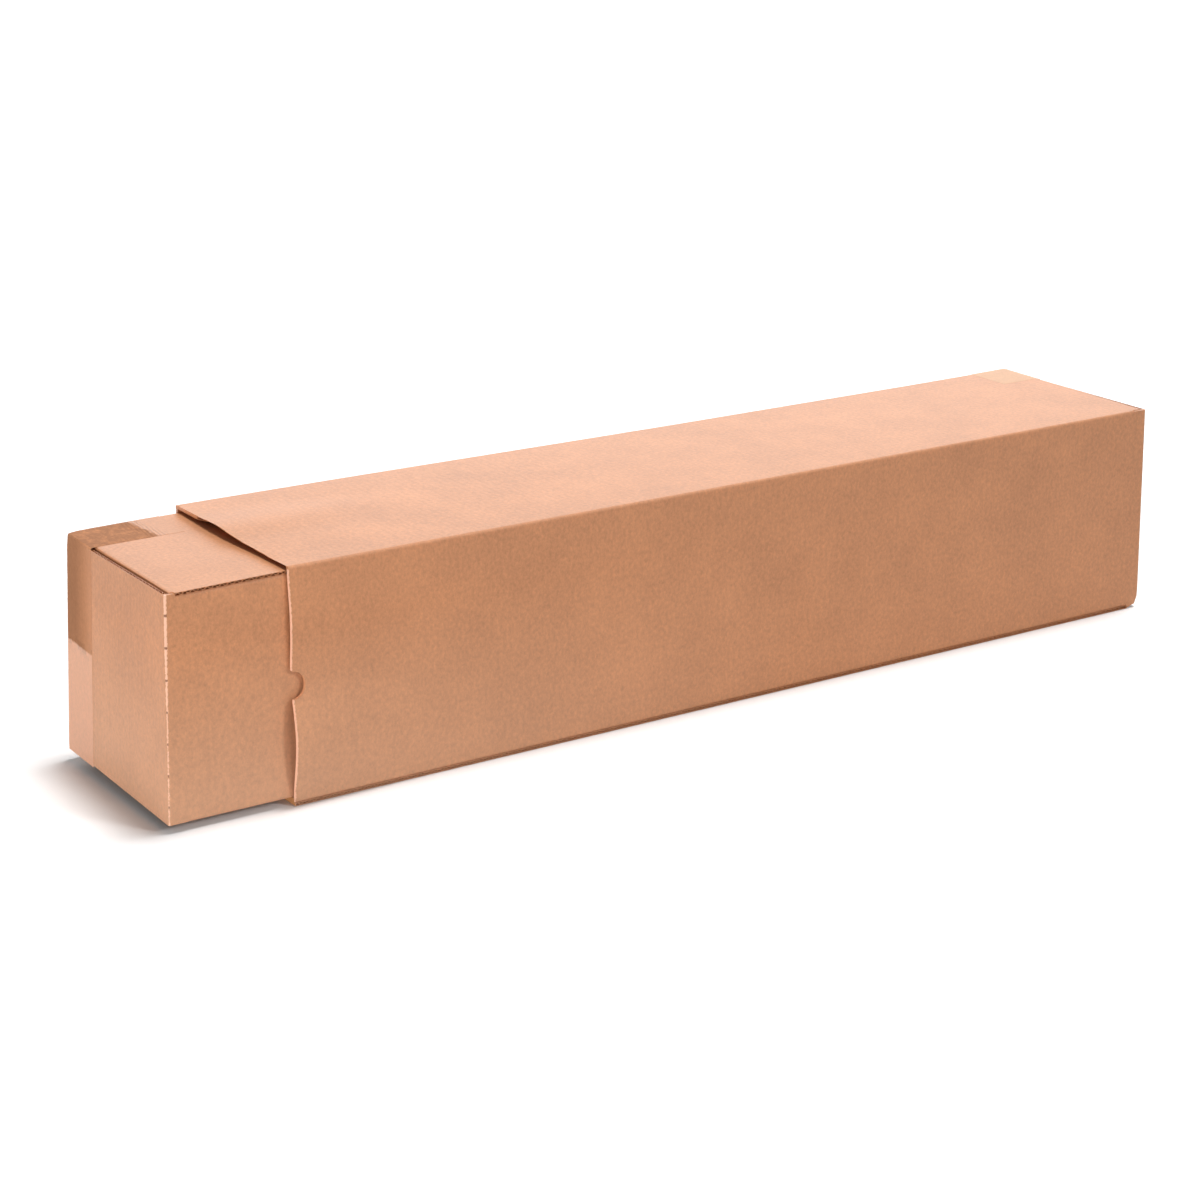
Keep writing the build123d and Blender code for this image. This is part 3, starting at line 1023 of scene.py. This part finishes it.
# The tint of lifted tape on the shut end is painted light.
inner_film = tape_material("tape_on_inner", stuck=(0.64, 0.66, 0.71), lifted=(0.97, 0.97, 0.96),
                           lifted_lit_on_end=(1.27, 1.26, 1.26))
sleeve_film = tape_material("tape_on_sleeve", stuck=(0.9, 0.9, 0.9), lifted=(1.01, 1.17, 1.16),
                            lifted_lit_on_end=(1.05, 1.08, 1.08))
print("tapes", inner_film.name, sleeve_film.name)

# %% [markdown]
# ## Filling the slots
# The slots have waited empty until now. They are filled in the order of their numbers.

# %% Hand out the materials
for piece in (sleeve, inner):
    for slot, material in ((LINER_SLOT, liner_paper), (CUT_SLOT, cut_edge), (CORE_SLOT, wavy_paper),
                           (HOLLOW_SHADE_SLOT, hollow_shade_paper)):
        piece.data.materials[slot] = material
sleeve_tape.data.materials[0] = sleeve_film
inner_tape.data.materials[0] = inner_film
print("materials", [m.name for m in bpy.data.materials])

# %% [markdown]
# ## Telling the frame what each piece stands for
# Each piece moves with one half of the tube and takes the place of one solid. Edges that turn by
# less than about thirty degrees are shaded smooth, so that folds look round and cut edges sharp.

# %% Ride and replace
SMOOTH_BELOW = 32
for piece, body, node, finish in ((sleeve, "sleeve", "outer_sleeve", "kraft_board"),
                                  (sleeve_tape, "sleeve", "outer_tape", "packing_tape"),
                                  (inner, "inner", "inner_tube", "kraft_board"),
                                  (inner_tape, "inner", "inner_tape", "packing_tape")):
    only(piece)
    bpy.ops.object.shade_smooth_by_angle(angle=math.radians(SMOOTH_BELOW))
    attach(piece, body)
    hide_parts(node)
    print(piece.name, "rides on", body)

# %% [markdown]
# ## The floor
# The photo is a plain studio shot on white. A wide plane keeps the tube's shadow. Seen directly or
# in a reflection it is nearly white, but it lights the box as a mid grey would, because a white
# floor would wash out the shade low on its sides. A Light Path node tells the two apart.

# %% Floor
FLOOR_SEEN = (0.95, 0.95, 0.95, 1)
FLOOR_LIGHTING = (0.48, 0.48, 0.48, 1)
only(None)
bpy.ops.mesh.primitive_plane_add(size=60, location=(0, 0, -0.0005))
floor = bpy.context.object
floor.name = "floor"
floor_paint = bpy.data.materials.new("floor_paint")
floor_paint.use_nodes = True
tree = floor_paint.node_tree
rays = tree.nodes.new("ShaderNodeLightPath").outputs
seen = math_node(tree, "MAXIMUM", rays["Is Camera Ray"], rays["Is Glossy Ray"])
seen = math_node(tree, "MAXIMUM", seen, rays["Is Transmission Ray"])
shader_inputs = tree.nodes["Principled BSDF"].inputs
tree.links.new(mix(tree, seen, FLOOR_LIGHTING, FLOOR_SEEN), shader_inputs["Base Color"])
shader_inputs["Roughness"].default_value = 0.9
shader_inputs["Specular IOR Level"].default_value = 0.0
floor.data.materials.append(floor_paint)
print("floor", round(floor.dimensions.x), "m wide")

# %% [markdown]
# ## The light from all round
# The world stands for the studio's white walls. It is white where the camera sees it, and gives only
# a quarter of that as soft light, so that the lamps can model the box.

# %% World
SKY_LIGHT = 0.24
world = bpy.data.worlds.new("studio")
bpy.context.scene.world = world
world.use_nodes = True
sky = world.node_tree
sky.nodes.clear()
seen = sky.nodes.new("ShaderNodeLightPath").outputs["Is Camera Ray"]
strength = plus(sky, SKY_LIGHT, times(sky, seen, 1 - SKY_LIGHT))
background = add(sky, "ShaderNodeBackground", {"Color": (1, 1, 1, 1)})
sky.links.new(strength, background.inputs["Strength"])
sky.links.new(background.outputs[0], sky.nodes.new("ShaderNodeOutputWorld").inputs[0])
print("world light", SKY_LIGHT)

# %% [markdown]
# ## The lamps
# In the photo the top is brightest, the long front is a middle brown and the shut end is in between.
# A soft sun almost overhead lights the top, and a weaker one from the front the long side. A low
# panel at the left brightens the shut end, and a wide one behind lights the far part of the top.

# %% Lamps
def sun_lamp(name, turn, strength, softness):
    """A sun that shines along its own downward axis; softness is its width in degrees."""
    only(None)
    bpy.ops.object.light_add(type="SUN", rotation=turn)
    lamp = bpy.context.object
    lamp.name = name
    lamp.data.energy = strength
    lamp.data.angle = math.radians(softness)


def panel_lamp(name, place, aim, size, power):
    """A flat lamp, so wide and so high, that looks from one place at another."""
    only(None)
    turn = (Vector(aim) - Vector(place)).to_track_quat("-Z", "Y").to_euler()
    bpy.ops.object.light_add(type="AREA", location=place, rotation=turn)
    lamp = bpy.context.object
    lamp.name = name
    lamp.data.shape = "RECTANGLE"
    lamp.data.size, lamp.data.size_y = size
    lamp.data.energy = power


from_front = Vector((0.5, -0.8, 0.5)).to_track_quat("Z", "Y").to_euler()
sun_lamp("overhead_sun", (0, math.radians(11), 0), 2.45, 14)
sun_lamp("front_sun", from_front, 0.99, 12)
panel_lamp("left_panel", (-2.9, -1.0, 0.14), (-0.5, 0, 0.05), (1.0, 0.2), 41)
panel_lamp("back_panel", (1.4, 2.8, 1.1), (0.1, 0, 0.2), (5.0, 1.0), 64)

# %% [markdown]
# ## The camera
# The camera's place was worked out from the edges of the box in the photo: it stands to the left
# front, a little above, and looks down by about 18 degrees.

# %% Camera
only(None)
bpy.ops.object.camera_add(location=(-1.479, -2.0569, 0.8961),
                          rotation=[math.radians(turn) for turn in (72.1, -0.352, -34.576)])
camera = bpy.context.object
camera.data.sensor_width = 36
camera.data.lens = 81.42
bpy.context.scene.camera = camera
bpy.context.scene.view_settings.view_transform = "Standard"
print("camera", [round(v, 3) for v in camera.location], "lens", camera.data.lens)
